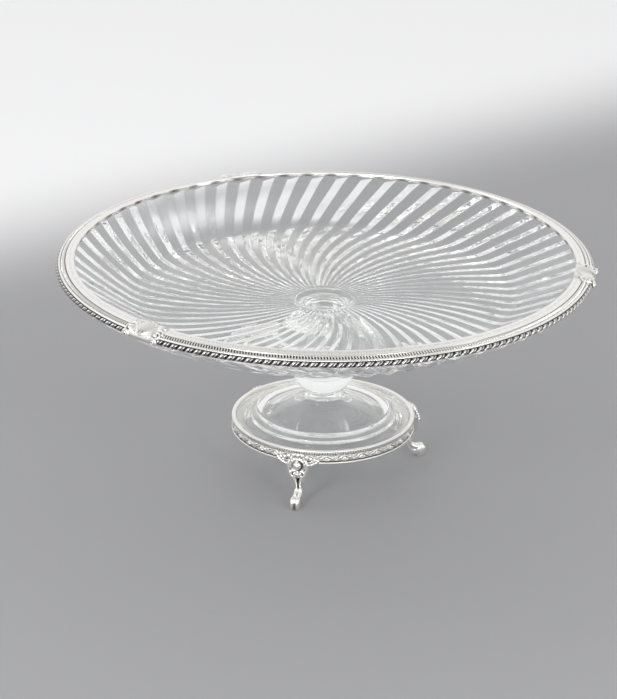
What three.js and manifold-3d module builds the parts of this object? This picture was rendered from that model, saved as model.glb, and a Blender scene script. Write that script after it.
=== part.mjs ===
// Footed platter: a pressed-glass dish with swirled prism ribs on a glass pedestal, its rim held in a
// silver-plated band of three cast lengths joined under three scroll clasps, and its foot set in a
// silver-plated ring on three cast cabriole legs. Millimetres, +Z up, origin on the table under the axis.
import * as THREE from 'three';
import Module from 'manifold-3d';
import { mergeVertices } from 'three/addons/utils/BufferGeometryUtils.js';

const wasm = await Module();
wasm.setup();

// Clearances
const glueLine = 0.3; // film of glue between glass and metal, and between the two glass pieces
const castingGap = 0.3; // play left between castings that are soldered together

// Foot ring
const ringRadius = 53.5;
const ringWall = 1.8;
const ringHeight = 7.5;
const flangeReach = 4.4; // flange width inside the wall
const flangeThickness = 1.5;
const ringBeadHeight = 1.1; // rolled bead along the top and bottom of the wall
const ringBeadReach = 0.7;

// Legs
const legCount = 3;
const legAzimuth = 15.5; // degrees, of the first leg
const legHeight = 26.5; // table to the underside of the ring
const legTopSpan = 7.7; // depth of the knee, from its back to its front
const legKneeWidth = 10.5;
const kneeDrop = 4; // straight part of the knee under the ring
const taperDepth = 6.2; // depth of the leg under the curls, and how far they lie below its top
const taperDrop = 8;
const taperWidth = 8.2;
const legAnkleWidth = 4.2;
const legAnkleDepth = 2.5;
const ankleHeight = 10.6;
const ankleBend = 3.7; // height over which the leg bends above and below the ankle
const legAnkleSetback = 4.1; // how far the ankle's front stands back from the knee's front
const legToeReach = 7.8; // how far the toe stands out in front of the knee
const toeRadius = 3.9;
const toeHeight = 8.6; // before the flat is filed
const toeSink = 0.5; // filed off under each toe, which leaves it a flat to stand on
const toeSpread = 2.9; // distance between the middles of the two toes
const toeWidth = 1.75; // half width of one toe
const headWidth = 13;
const headThickness = 2.4;
const headRise = 6.2; // how far the head laps up over the ring's wall
const earReach = 11.4; // how far each scroll ear stands out beside the leg's middle
const earRadius = 2.2;
const yokeHeight = 2.6; // bar that carries the ears
const bossRadius = 2.6;
const bossDrop = 1.2; // middle of the boss below the ring's underside
const recessWidth = 1;
const recessDepth = 1;
const curlRadius = 2.1;
const scrollProud = 0.5; // ears and curls stand this far out of the leg's face
const tenonRadius = 1.1;
const tenonFit = 0.3;

// Glass pedestal
const footEdgeHeight = 5.2;
const footEdgeRound = 1.2;
const outerLand = 7.3; // from the foot's edge to the lower step
const stepRise = 1.9;
const stepRun = 0.7;
const innerLand = 3.6;
const bellRise = 12; // from the upper step to the lower waist
const lowerWaistRadius = 10.2;
const knopRadius = 19;
const knopHeight = 42.9; // from the lower waist to the upper waist
const upperWaistRadius = 11.4;
const bossNeckRise = 8.8; // flare from the upper waist to the dish's boss
const dishBossRadius = 17.5;
const dishBossHeight = 4.2;
const footHollowRadius = 38;
const footHollowRise = 7;
const footRestLand = 4.2; // flat ring on which the glass foot stands

// Glass dish
const floorThickness = 3.1; // at the middle
const discRadius = 16; // flat disc in the middle of the floor
const floorRise = 2.8; // from the disc out to the knee
const kneeRadius = 109;
const kneeRound = 5;
const dishHeight = 27; // from the underside of the boss to the rim's land at the glass's edge
const landFall = 0.9; // the land under the band falls by this towards the glass's edge
const ribCount = 60;
const ribTwist = 0.235; // degrees that a rib swings for each millimetre that it runs outwards
const ribPhase = 26.8; // degrees, azimuth of a rib at the axis
const ribStart = 20;
const ribDepthInside = 0.7;
const ribDepthOutside = 3.1;
const crestDrop = 0.9; // rib crests below the boss's underside, over the flat of the floor
const underKneeInset = 1.5; // the underside's knee lies this far inside the floor's knee
const rimEdgeDepth = 5.4; // from the rim's land down to the crest of a rib at the edge

// Rim band and clasps
const rimRadius = 155;
const bandWidth = 10;
const bandLip = 2.2; // height of the band's inner face
const bandWall = 2.5;
const bandDrop = 3.5; // how far the wall hangs below the glass's edge
const bandFall = 2.8; // the band's top falls by this from its inner edge to its shoulder
const gadroonDepth = 0.9;
const gadroonsPerLength = 62;
const gadroonLean = 0.4; // share of a gadroon's pitch by which its top leads its foot
const claspCount = 3;
const claspAzimuth = 110.7; // degrees, of the first clasp
const claspLength = 26;
const claspSwell = 0.8; // how far the clasp's body stands proud of the band
const shellLength = 13;
const shellWidth = 10.5;
const shellHeight = 1.4;
const voluteRadius = 2.2;
const voluteReach = 2.4; // how far a volute stands out beyond the rim
const leafRadius = 1.5;

// Places that follow from the sizes above
const flangeTop = legHeight + flangeThickness;
const ringTop = legHeight + ringHeight;
const flangeHoleRadius = ringRadius - ringWall - flangeReach;
const tenonCircle = ringRadius - ringWall - tenonRadius - tenonFit;
const footBase = flangeTop + glueLine;
const footRadius = ringRadius - ringWall - glueLine;
const lowerStepRadius = footRadius - outerLand;
const upperStepRadius = lowerStepRadius - stepRun - innerLand;
const bellRadius = upperStepRadius - stepRun;
const footEdgeTop = footBase + footEdgeHeight;
const lowerWaistHeight = footEdgeTop + 2 * stepRise + bellRise;
const upperWaistHeight = lowerWaistHeight + knopHeight;
const bossBase = upperWaistHeight + bossNeckRise;
const pedestalTop = bossBase + dishBossHeight;
const dishBase = pedestalTop + glueLine;
const floorHeight = dishBase + floorThickness;
const kneeHeight = floorHeight + floorRise;
const landHeight = dishBase + dishHeight;
const glassRadius = rimRadius - bandWall - gadroonDepth - glueLine;
const bandInnerRadius = rimRadius - bandWidth;
const bandBase = landHeight + glueLine;
const bandTop = bandBase + landFall + bandLip;
const shoulderHeight = bandTop - bandFall;
const bandTilt = Math.atan2(bandFall, bandWidth - gadroonDepth);
const claspAngle = claspLength / rimRadius;
const degree = Math.PI / 180;
const turn = 2 * Math.PI;

const clearGlass = () =>
  new THREE.MeshStandardMaterial({ color: 0xdfe8e6, roughness: 0.05, metalness: 0, transparent: true, opacity: 0.35 });
const silverPlate = () => new THREE.MeshStandardMaterial({ color: 0xd9d7d0, roughness: 0.18, metalness: 1 });

const group = new THREE.Group();

function addMesh(name, geometry, material) {
  geometry.computeVertexNormals();
  const mesh = new THREE.Mesh(geometry, material);
  mesh.name = name;
  group.add(mesh);
  return mesh;
}

// Shared vertices only, and no triangle that has shrunk to a line
function welded(geometry) {
  const bare = new THREE.BufferGeometry();
  bare.setAttribute('position', geometry.getAttribute('position').clone());
  if (geometry.index) bare.setIndex(geometry.index.clone());
  const merged = mergeVertices(bare, 1e-5);
  const kept = [];
  const index = merged.index.array;
  for (let i = 0; i < index.length; i += 3) {
    const [a, b, c] = [index[i], index[i + 1], index[i + 2]];
    if (a !== b && b !== c && c !== a) kept.push(a, b, c);
  }
  merged.setIndex(kept);
  return merged;
}

function solid(geometry) {
  const merged = welded(geometry);
  const vertProperties = new Float32Array(merged.getAttribute('position').array);
  const triVerts = new Uint32Array(merged.index.array);
  return new wasm.Manifold(new wasm.Mesh({ numProp: 3, vertProperties, triVerts }));
}

function geometryOf(manifold) {
  const mesh = manifold.getMesh();
  const geometry = new THREE.BufferGeometry();
  geometry.setAttribute('position', new THREE.BufferAttribute(new Float32Array(mesh.vertProperties), 3));
  geometry.setIndex(new THREE.BufferAttribute(new Uint32Array(mesh.triVerts), 1));
  return geometry;
}

// A turned piece about Z. The outline runs anticlockwise in (radius, height).
function turned(outline, segments) {
  const geometry = new THREE.LatheGeometry(outline, segments);
  geometry.rotateX(Math.PI / 2);
  return welded(geometry);
}

// A skin over sections that all have the same number of points, with both ends closed. The sections are
// given in the order of travel, and each runs clockwise as seen when looking back along the travel.
function lofted(rings, capOutline) {
  const count = rings[0].length;
  const positions = rings.flat().flatMap((point) => [point.x, point.y, point.z]);
  const index = [];
  for (let ring = 0; ring + 1 < rings.length; ring += 1) {
    for (let i = 0; i < count; i += 1) {
      const j = (i + 1) % count;
      const [a, b] = [ring * count + i, ring * count + j];
      const [c, d] = [a + count, b + count];
      index.push(a, b, d, a, d, c);
    }
  }
  const last = (rings.length - 1) * count;
  for (const [a, b, c] of THREE.ShapeUtils.triangulateShape(capOutline, [])) {
    index.push(a, c, b, last + a, last + b, last + c);
  }
  const geometry = new THREE.BufferGeometry();
  geometry.setAttribute('position', new THREE.Float32BufferAttribute(positions, 3));
  geometry.setIndex(index);
  return geometry;
}

const point2 = (radius, height) => new THREE.Vector2(radius, height);

function aboutAxis(radius, azimuth, height) {
  return new THREE.Vector3(radius * Math.cos(azimuth), radius * Math.sin(azimuth), height);
}

// Glass dish

// Crest line of the ribs on the underside: flat under the floor, then up to the rim's edge
function crestHeight(radius) {
  const flat = dishBase - crestDrop;
  const edge = landHeight - rimEdgeDepth;
  const knee = kneeRadius - underKneeInset;
  return radius < knee ? flat : flat + ((edge - flat) * (radius - knee)) / (glassRadius - knee);
}

function ribDepth(radius) {
  const share = Math.min(1, (radius - ribStart) / (kneeRadius - ribStart));
  return ribDepthInside + (ribDepthOutside - ribDepthInside) * share;
}

function dishOutline() {
  const undersideSteps = 4;
  const slopeSteps = 2;
  const underKnee = kneeRadius - underKneeInset;
  const under = [point2(0, dishBase), point2(ribStart - 1, dishBase)];
  for (let i = 0; i <= undersideSteps; i += 1) {
    const radius = ribStart + ((underKnee - ribStart) * i) / undersideSteps;
    under.push(point2(radius, crestHeight(radius)));
  }
  for (let i = 1; i <= slopeSteps; i += 1) {
    const radius = underKnee + ((glassRadius - underKnee) * i) / slopeSteps;
    under.push(point2(radius, crestHeight(radius)));
  }
  const landInside = landHeight + landFall;
  const slopeAngle = Math.atan2(landInside - kneeHeight, bandInnerRadius - kneeRadius);
  const kneeOut = point2(kneeRadius + kneeRound * Math.cos(slopeAngle), kneeHeight + kneeRound * Math.sin(slopeAngle));
  const knee = new THREE.QuadraticBezierCurve(
    kneeOut,
    point2(kneeRadius, kneeHeight),
    point2(kneeRadius - kneeRound, kneeHeight - (floorRise * kneeRound) / (kneeRadius - discRadius)),
  );
  const top = [
    point2(glassRadius, landHeight),
    point2(bandInnerRadius, landInside),
    ...knee.getPoints(2),
    point2(discRadius, floorHeight),
    point2(0, floorHeight),
  ];
  return { under, top };
}

// Every second vertex round the dish is a valley between two prism ribs, and each ring of vertices is
// swung on by the twist, so that crests and valleys run along the mesh's edges.
function dishGeometry() {
  const { under, top } = dishOutline();
  const segments = 2 * ribCount;
  const profile = [...under, ...top];
  const geometry = new THREE.LatheGeometry(profile, segments);
  geometry.rotateX(Math.PI / 2);
  const position = geometry.getAttribute('position');
  for (let column = 0; column <= segments; column += 1) {
    const inValley = column % 2 === 1;
    for (let row = 0; row < profile.length; row += 1) {
      const { x: radius, y: height } = profile[row];
      const ribbed = row < under.length && radius >= ribStart;
      const azimuth = (column * turn) / segments + (ribPhase - ribTwist * radius) * degree;
      const lift = ribbed && inValley ? ribDepth(radius) : 0;
      const place = aboutAxis(radius, azimuth, height + lift);
      position.setXYZ(column * profile.length + row, place.x, place.y, place.z);
    }
  }
  return welded(geometry);
}

// Glass pedestal

function bellPoints(steps) {
  const points = [];
  const base = footEdgeTop + 2 * stepRise;
  for (let i = 0; i <= steps; i += 1) {
    const angle = (i / steps) * (Math.PI / 2);
    const radius = bellRadius - (bellRadius - lowerWaistRadius) * Math.sin(angle);
    points.push(point2(radius, base + bellRise * (1 - Math.cos(angle))));
  }
  return points;
}

// The knop swells from the lower waist and runs out more slowly into the upper waist
function knopPoints(steps) {
  const points = [];
  for (let i = 1; i < steps; i += 1) {
    const share = i / steps;
    const waist = lowerWaistRadius + (upperWaistRadius - lowerWaistRadius) * share;
    const swell = Math.sin(Math.PI * share ** 0.85) ** 0.8;
    points.push(point2(waist + (knopRadius - waist) * swell, lowerWaistHeight + knopHeight * share));
  }
  return points;
}

function neckPoints(steps) {
  const points = [];
  for (let i = 0; i <= steps; i += 1) {
    const angle = (i / steps) * (Math.PI / 2);
    const radius = dishBossRadius - (dishBossRadius - upperWaistRadius) * Math.cos(angle);
    points.push(point2(radius, upperWaistHeight + bossNeckRise * Math.sin(angle)));
  }
  return points;
}

function pedestalGeometry() {
  const restInner = footRadius - footRestLand;
  const hollow = [point2(0, footBase + footHollowRise)];
  const hollowSteps = 3;
  for (let i = 1; i <= hollowSteps; i += 1) {
    const share = i / hollowSteps;
    hollow.push(point2(footHollowRadius * share, footBase + footHollowRise * (1 - share ** 2)));
  }
  hollow.push(point2(restInner, footBase));
  const outline = [
    ...hollow,
    point2(footRadius, footBase),
    point2(footRadius, footEdgeTop - footEdgeRound),
    point2(footRadius - footEdgeRound, footEdgeTop),
    point2(lowerStepRadius, footEdgeTop),
    point2(lowerStepRadius - stepRun, footEdgeTop + stepRise),
    point2(upperStepRadius, footEdgeTop + stepRise),
    ...bellPoints(5),
    ...knopPoints(8),
    ...neckPoints(3),
    point2(dishBossRadius, pedestalTop),
    point2(0, pedestalTop),
  ];
  return turned(outline, 30);
}

// Rim band and clasps

// Section of the band: a tilted top over the glass and a rounded wall outside its edge
function bandSection(swell) {
  const wallInside = glassRadius + glueLine;
  return [
    point2(bandInnerRadius, bandTop + swell),
    point2(bandInnerRadius, bandBase + landFall),
    point2(wallInside, bandBase),
    point2(wallInside, bandBase - bandDrop),
    point2(rimRadius + swell, bandBase - bandDrop / 2),
    point2(rimRadius - gadroonDepth + swell, shoulderHeight + swell),
  ];
}

const facePoint = 4; // the section's points on the gadrooned face, at its middle and at its shoulder
const shoulderPoint = 5;

function bandLengthGeometry(startAngle, endAngle) {
  const section = bandSection(0);
  const steps = 2 * gadroonsPerLength;
  const pitch = (endAngle - startAngle) / gadroonsPerLength;
  const rings = [];
  for (let step = 0; step <= steps; step += 1) {
    const azimuth = endAngle - (step * pitch) / 2;
    const hollow = step % 2 === 1 ? gadroonDepth : 0;
    const ease = Math.min(1, step / 4, (steps - step) / 4);
    rings.push(section.map((corner, i) => {
      const radius = i >= facePoint ? corner.x - hollow : corner.x;
      const lead = i === shoulderPoint ? gadroonLean * pitch * ease : 0;
      return aboutAxis(radius, azimuth + lead, corner.y);
    }));
  }
  return lofted(rings, section);
}

function claspBody(angle) {
  const section = bandSection(claspSwell);
  const steps = 4;
  const rings = [];
  for (let step = 0; step <= steps; step += 1) {
    const azimuth = angle * (0.5 - step / steps);
    rings.push(section.map((corner) => aboutAxis(corner.x, azimuth, corner.y)));
  }
  return solid(lofted(rings, section));
}

// The eye of a scroll: a rounded button that stands out beyond the wall
function voluteEye(azimuth) {
  const depth = (bandWall + claspSwell + voluteReach) / 2;
  const eye = new THREE.SphereGeometry(1, 8, 6);
  eye.rotateZ(Math.PI / 2);
  eye.scale(depth, voluteRadius, voluteRadius);
  eye.translate(rimRadius + voluteReach - depth, 0, bandBase - bandDrop / 2 + voluteRadius / 2);
  eye.rotateZ(azimuth);
  return solid(eye);
}

function shellBoss() {
  const shell = new THREE.SphereGeometry(1, 10, 6);
  shell.scale(shellWidth / 2, shellLength / 2, shellHeight);
  shell.rotateY(bandTilt);
  shell.translate(rimRadius + claspSwell - shellWidth / 2, 0, bandTop + claspSwell - bandFall / 2);
  return solid(shell);
}

function leafBar(azimuth) {
  const leaf = new THREE.SphereGeometry(1, 8, 4);
  leaf.scale(leafRadius * 1.4, leafRadius * 2.6, leafRadius);
  leaf.translate(rimRadius + claspSwell - gadroonDepth, 0, shoulderHeight + claspSwell / 2);
  leaf.rotateZ(azimuth);
  return solid(leaf);
}

function claspGeometry() {
  const angle = claspAngle - (2 * castingGap) / rimRadius;
  const eyeAzimuth = angle / 2 - voluteRadius / rimRadius;
  const leafAzimuth = (angle / 2 + shellLength / rimRadius / 2) / 2;
  let clasp = claspBody(angle).add(shellBoss());
  for (const side of [-1, 1]) {
    clasp = clasp.add(voluteEye(side * eyeAzimuth));
    clasp = clasp.add(leafBar(side * leafAzimuth));
  }
  return geometryOf(clasp);
}

// Foot ring

function ringGeometry() {
  const wallInside = ringRadius - ringWall;
  const bead = ringRadius + ringBeadReach;
  const outline = [
    point2(flangeHoleRadius, flangeTop),
    point2(flangeHoleRadius, legHeight),
    point2(ringRadius, legHeight),
    point2(bead, legHeight + ringBeadHeight / 2),
    point2(ringRadius, legHeight + ringBeadHeight),
    point2(ringRadius, ringTop - ringBeadHeight),
    point2(bead, ringTop - ringBeadHeight / 2),
    point2(ringRadius, ringTop),
    point2(wallInside, ringTop),
    point2(wallInside, flangeTop),
    point2(flangeHoleRadius, flangeTop),
  ];
  let ring = solid(turned(outline, 42));
  for (let leg = 0; leg < legCount; leg += 1) {
    const hole = new THREE.CylinderGeometry(tenonRadius + tenonFit, tenonRadius + tenonFit, 4 * flangeThickness, 10);
    hole.rotateX(Math.PI / 2);
    hole.translate(tenonCircle, 0, legHeight);
    hole.rotateZ(legAzimuth * degree + (leg * turn) / legCount);
    ring = ring.subtract(solid(hole));
  }
  return geometryOf(ring);
}

// Legs, made in the plane y = 0 with +X outwards, then turned to their places

const kneeFront = ringRadius + ringBeadReach + castingGap + headThickness;
const kneeBack = kneeFront - legTopSpan;
const legTop = legHeight - castingGap;

// The leg from its knee down to its toes: stations of [distance out, height, depth, width]
function legStations() {
  const ankle = kneeFront - legAnkleSetback - legAnkleDepth / 2;
  const toe = kneeFront + legToeReach - toeRadius;
  const bend = legAnkleDepth / 2;
  return [
    [(kneeFront + kneeBack) / 2, legTop, legTopSpan, legKneeWidth],
    [(kneeFront + kneeBack) / 2, legTop - kneeDrop, legTopSpan, legKneeWidth],
    [kneeBack + (taperDepth + legTopSpan) / 4, legTop - taperDrop, taperDepth, taperWidth],
    [ankle + bend, ankleHeight + ankleBend, legAnkleDepth + bend, legAnkleWidth],
    [ankle, ankleHeight, legAnkleDepth, legAnkleWidth],
    [ankle + bend, ankleHeight - ankleBend, legAnkleDepth, legAnkleWidth],
    [(ankle + toe) / 2, toeRadius, legAnkleDepth, legAnkleWidth],
    [toe, toeHeight / 4, legAnkleDepth, legAnkleWidth + toeWidth],
  ];
}

// Sections stand square to a smooth line through the stations; the top one lies level under the ring
function legShank() {
  const stations = legStations();
  const places = stations.map(([out, height]) => new THREE.Vector3(out, 0, height));
  const sizes = stations.map(([, , depth, width]) => new THREE.Vector3(depth, width, 0));
  const line = new THREE.CatmullRomCurve3(places, false, 'catmullrom');
  const girth = new THREE.CatmullRomCurve3(sizes, false, 'catmullrom');
  const corners = 8;
  const steps = 11;
  const outline = [];
  for (let i = 0; i < corners; i += 1) {
    const angle = ((i + 0.5) * turn) / corners;
    outline.push(point2(Math.cos(angle), Math.sin(angle)).divideScalar(Math.cos(Math.PI / corners)));
  }
  const rings = [];
  for (let step = 0; step <= steps; step += 1) {
    const { x: out, z: height } = line.getPoint(step / steps);
    const { x: depth, y: width } = girth.getPoint(step / steps);
    const run = line.getTangent(step / steps);
    const across = step === 0 ? point2(1, 0) : point2(-run.z, run.x).normalize();
    rings.push(outline.map(({ x, y }) => new THREE.Vector3(
      out + (across.x * x * depth) / 2,
      (-y * width) / 2,
      height + (across.y * x * depth) / 2,
    )));
  }
  return solid(lofted(rings, outline));
}

function cylinderAlongX(radius, length, segments) {
  const cylinder = new THREE.CylinderGeometry(radius, radius, length, segments);
  cylinder.rotateZ(Math.PI / 2);
  return cylinder;
}

// The head: a shield that laps over the ring's wall, and a yoke with a scroll ear at each end
function legHead() {
  const back = kneeFront - headThickness;
  const half = headWidth / 2;
  const low = legHeight - 2 * bossRadius - bossDrop;
  const high = legHeight + headRise;
  const shape = new THREE.Shape();
  shape.moveTo(-half * 0.55, low);
  shape.lineTo(half * 0.55, low);
  shape.quadraticCurveTo(half, legHeight - bossDrop, half * 0.86, legHeight + bossDrop);
  shape.quadraticCurveTo(half * 0.9, high, 0, high);
  shape.quadraticCurveTo(-half * 0.9, high, -half * 0.86, legHeight + bossDrop);
  shape.quadraticCurveTo(-half, legHeight - bossDrop, -half * 0.55, low);
  const plate = new THREE.ExtrudeGeometry(shape, { depth: headThickness, bevelEnabled: false, curveSegments: 3 });
  plate.rotateX(Math.PI / 2);
  plate.rotateZ(Math.PI / 2);
  plate.translate(back, 0, 0);
  const yoke = new THREE.BoxGeometry(headThickness, 2 * (earReach - earRadius), yokeHeight);
  yoke.translate(back + (headThickness + scrollProud) / 2, 0, legHeight + earRadius + yokeHeight / 3);
  let head = solid(plate).add(solid(yoke));
  for (const side of [-1, 1]) {
    const ear = cylinderAlongX(earRadius, headThickness, 8);
    ear.translate(back + headThickness / 2 + scrollProud, side * (earReach - earRadius), legHeight + earRadius);
    head = head.add(solid(ear));
  }
  const recess = cylinderAlongX(bossRadius + recessWidth, 2 * recessDepth, 12);
  recess.translate(kneeFront, 0, legHeight - bossDrop);
  const boss = new THREE.SphereGeometry(bossRadius, 9, 6);
  boss.rotateZ(Math.PI / 2);
  boss.scale(0.8, 1, 1);
  boss.translate(kneeFront - recessDepth, 0, legHeight - bossDrop);
  return { plate: head, recess: solid(recess), boss: solid(boss) };
}

// Paired curls under the boss, where the knee tapers into the shank
function legCurl(side) {
  const length = legTopSpan * 0.8;
  const height = legTop - 2 * bossRadius - bossDrop - curlRadius;
  const curl = cylinderAlongX(curlRadius, length, 8);
  curl.translate(kneeFront + scrollProud - length / 2, side * curlRadius * 0.9, height);
  return solid(curl);
}

function legToe(side) {
  const toe = new THREE.SphereGeometry(1, 8, 6);
  toe.rotateX(Math.PI / 2);
  toe.scale(toeRadius, toeWidth, toeHeight / 2);
  toe.translate(kneeFront + legToeReach - toeRadius, (side * toeSpread) / 2, toeHeight / 2 - toeSink);
  return solid(toe);
}

function legTenon() {
  const length = flangeThickness + castingGap + 2;
  const tenon = new THREE.CylinderGeometry(tenonRadius, tenonRadius, length, 8);
  tenon.rotateX(Math.PI / 2);
  tenon.translate(tenonCircle, 0, flangeTop - length / 2);
  return solid(tenon);
}

function legGeometry() {
  const { plate, recess, boss } = legHead();
  let leg = legShank().add(plate);
  for (const side of [-1, 1]) {
    leg = leg.add(legCurl(side)).add(legToe(side));
  }
  leg = leg.subtract(recess).add(boss).add(legTenon());
  const depth = 4 * toeRadius;
  const table = new THREE.BoxGeometry(8 * toeRadius, 8 * toeRadius, depth);
  table.translate(kneeFront, 0, -depth / 2);
  return geometryOf(leg.subtract(solid(table)));
}

// Assembly

addMesh('glass_dish', dishGeometry(), clearGlass());
addMesh('glass_pedestal', pedestalGeometry(), clearGlass());

for (let clasp = 0; clasp < claspCount; clasp += 1) {
  const middle = claspAzimuth * degree + (clasp * turn) / claspCount;
  const next = middle + turn / claspCount;
  const halfJoint = claspAngle / 2;
  addMesh(`rim_band_${clasp + 1}`, bandLengthGeometry(middle + halfJoint, next - halfJoint), silverPlate());
  const mesh = addMesh(`rim_clasp_${clasp + 1}`, claspGeometry(), silverPlate());
  mesh.rotation.z = middle;
}

addMesh('foot_ring', ringGeometry(), silverPlate());

for (let leg = 0; leg < legCount; leg += 1) {
  const mesh = addMesh(`leg_${leg + 1}`, legGeometry(), silverPlate());
  mesh.rotation.z = legAzimuth * degree + (leg * turn) / legCount;
}

export default group;
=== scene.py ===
"""Footed platter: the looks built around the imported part.

Everything stands in metres on the frame's axes. Shapes are worked out in millimetres and scaled once, when
a mesh is made.
"""

import math

import bpy
import numpy as np
from mathutils import Matrix, Vector


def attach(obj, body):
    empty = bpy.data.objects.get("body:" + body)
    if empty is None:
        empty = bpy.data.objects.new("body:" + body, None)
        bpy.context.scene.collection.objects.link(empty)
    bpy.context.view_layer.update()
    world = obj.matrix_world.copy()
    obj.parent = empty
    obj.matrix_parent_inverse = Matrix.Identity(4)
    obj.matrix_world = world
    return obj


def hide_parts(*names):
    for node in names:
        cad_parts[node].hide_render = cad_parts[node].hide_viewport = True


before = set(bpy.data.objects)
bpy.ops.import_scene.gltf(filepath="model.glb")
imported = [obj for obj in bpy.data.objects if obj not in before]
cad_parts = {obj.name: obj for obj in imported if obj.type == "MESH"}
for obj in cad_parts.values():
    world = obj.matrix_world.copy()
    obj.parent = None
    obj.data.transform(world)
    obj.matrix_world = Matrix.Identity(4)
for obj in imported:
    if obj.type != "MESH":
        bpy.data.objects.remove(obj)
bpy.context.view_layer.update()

MM = 0.001
TURN = 2 * math.pi

# Glass dish
FLOOR_HEIGHT = 108.6
DISC_RADIUS = 16.0
KNEE_RADIUS = 109.0
KNEE_HEIGHT = 111.4
KNEE_BEND = 6.5  # how softly the floor turns into the slope
LAND_HEIGHT = 132.5  # at the glass's edge
LAND_INSIDE = 133.4  # under the band's inner edge
BAND_INNER = 145.0
GLASS_RADIUS = 151.3
RIM_RADIUS = 155.0
RIB_COUNT = 60
RIB_TWIST = 0.235  # degrees for each millimetre outwards
RIB_PHASE = 26.8
RIB_START = 20.0
RIB_FADE = 1.8  # the ribs fade out over this distance
RIB_DEPTH = 0.0152  # share of the radius, about a seventh of the ribs' pitch
CREST_FLAT = 104.6
CREST_EDGE = 127.1
UNDER_KNEE = 112.0
UNDER_BEND = 4.0
BELLY = 1.0
BELLY_POWER = 1.6  # over 1, so that the belly is fullest in the outer half of the slope
BOSS_RADIUS = 17.5

# Glass pedestal
PEDESTAL_SIDES = 240
NECK_RADIUS = 11.4
NECK_HEIGHT = 92.2
BELL_RADIUS = 38.4
BELL_HEIGHT = 39.5
HOLLOW_TOP = 53.5

# Rim band
BAND_COUNT = 3
GADROONS = 66  # on each band length, with those under the clasps
GADROON_DEPTH = 1.0
GADROON_LEAN = 0.5  # share of a gadroon, over the height of the wall
WALL_MIDDLE = 130.8
WALL_HEIGHT = 2.6
CHANNEL_INNER = 149.3
CHANNEL_HEIGHT = 133.85  # of its floor at the inner edge
CHANNEL_FALL = 0.2  # for each millimetre outwards
GROOVE_RADIUS = 152.9
GROOVE_HEIGHT = 132.68
DOT_RADIUS = 146.6
DOTS_TO_GADROON = 3
BEADS_TO_GADROON = 3
BEAD_RADIUS = 150.6
BEAD_REACH = 1.4  # half its length across the channel
BEAD_HEIGHT = 1.0
BEAD_SHARE = 0.33  # half its width as a share of the pitch
BEAD_SLANT = 0.16  # how far each end leans, as a share of the pitch
BEAD_STEPS = 6

# Clasps
CLASP_AZIMUTH = 110.7
CLASP_HALF = 13.4  # half the length along the rim
CLASP_GAP = 0.15  # from a band's end to the middle of the clasp over it
CLASP_RELIEF = 0.8  # factor on every height of the relief
FAN_FOOT = 13.2  # where the flutes of the shell would meet
FLUTE_ANGLE = 0.235  # radians from flute to flute

# Foot ring
RING_RADIUS = 53.5
RING_REPEATS = 32
RING_MIDDLE = 30.1  # height of the middle of the ornament
RELIEF_TOP = 32.1
RELIEF_RADIUS = 53.0
BARS_TO_REPEAT = 7
BAR_HEIGHT = 0.4
FLANGE_HOLE = 47.3
FLANGE_TOP = 28.0

# Legs
LEG_AZIMUTH = 15.5
LEG_COUNT = 3
LEG_BOSS = (56.3, -0.3, 25.7)
LEG_GRAIN = 0.24  # the smallest form that the fused casting keeps

# Leaves along an ear: distance out, place beside the leg's middle, height, half width and half rise
EAR_LEAVES = [
    (56.4, 2.6, 32.0, 1.15, 1.5),
    (56.4, 5.2, 31.3, 1.15, 1.3),
    (56.3, 7.6, 30.7, 1.05, 1.25),
    (56.2, 9.9, 30.2, 1.05, 1.3),
    (55.9, 11.9, 29.6, 0.95, 1.3),
    (56.3, 8.6, 29.0, 0.8, 0.8),
    (56.4, 3.3, 28.3, 0.7, 0.9),
]


# Numbers and outlines


def smooth_step(low, high, value):
    share = np.clip((value - low) / (high - low), 0.0, 1.0)
    return share * share * (3 - 2 * share)


def rounded(corners, steps=4, closed=False):
    """Outline through corners (x, y, cut), each cut corner turned into a curve."""
    count = len(corners)
    points = []
    for i, (x, y, cut) in enumerate(corners):
        here = np.array([x, y], float)
        at_end = not closed and i in (0, count - 1)
        if cut == 0 or at_end:
            points.append(here)
            continue
        before = np.array(corners[i - 1][:2], float) - here
        after = np.array(corners[(i + 1) % count][:2], float) - here
        first = here + before * min(0.48, cut / np.linalg.norm(before))
        last = here + after * min(0.48, cut / np.linalg.norm(after))
        for k in range(steps + 1):
            t = k / steps
            points.append((1 - t) ** 2 * first + 2 * t * (1 - t) * here + t * t * last)
    return np.array(points)


def subdivided(outline, longest):
    """The same outline with its long edges cut into shorter ones."""
    points = [outline[0]]
    for start, end in zip(outline[:-1], outline[1:]):
        pieces = max(1, math.ceil(np.linalg.norm(end - start) / longest))
        points += [start + (end - start) * (k / pieces) for k in range(1, pieces + 1)]
    return np.array(points)


def smooth_line(points, count):
    """A smooth curve through points, as count points at even steps of the parameter."""
    points = np.array(points, float)
    padded = np.vstack([2 * points[0] - points[1], points, 2 * points[-1] - points[-2]])
    places = np.linspace(0, len(points) - 1, count)
    spans = np.minimum(places.astype(int), len(points) - 2)
    t = (places - spans)[:, None]
    a, b, c, d = (padded[spans + k] for k in range(4))
    return 0.5 * (2 * b + (c - a) * t + (2 * a - 5 * b + 4 * c - d) * t**2 + (3 * b - a - 3 * c + d) * t**3)


# Meshes


def grid_faces(rows, columns, wrap_rows=False, wrap_columns=False):
    """Quads over a grid of vertices. They face along (down the rows) x (along the columns)."""
    row = np.arange(rows if wrap_rows else rows - 1)
    column = np.arange(columns if wrap_columns else columns - 1)
    row, column = np.meshgrid(row, column, indexing="ij")
    here = row * columns
    below = (row + 1) % rows * columns
    beside = (column + 1) % columns
    corners = [here + column, below + column, below + beside, here + beside]
    return np.stack(corners, -1).reshape(-1, 4).tolist()


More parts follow.
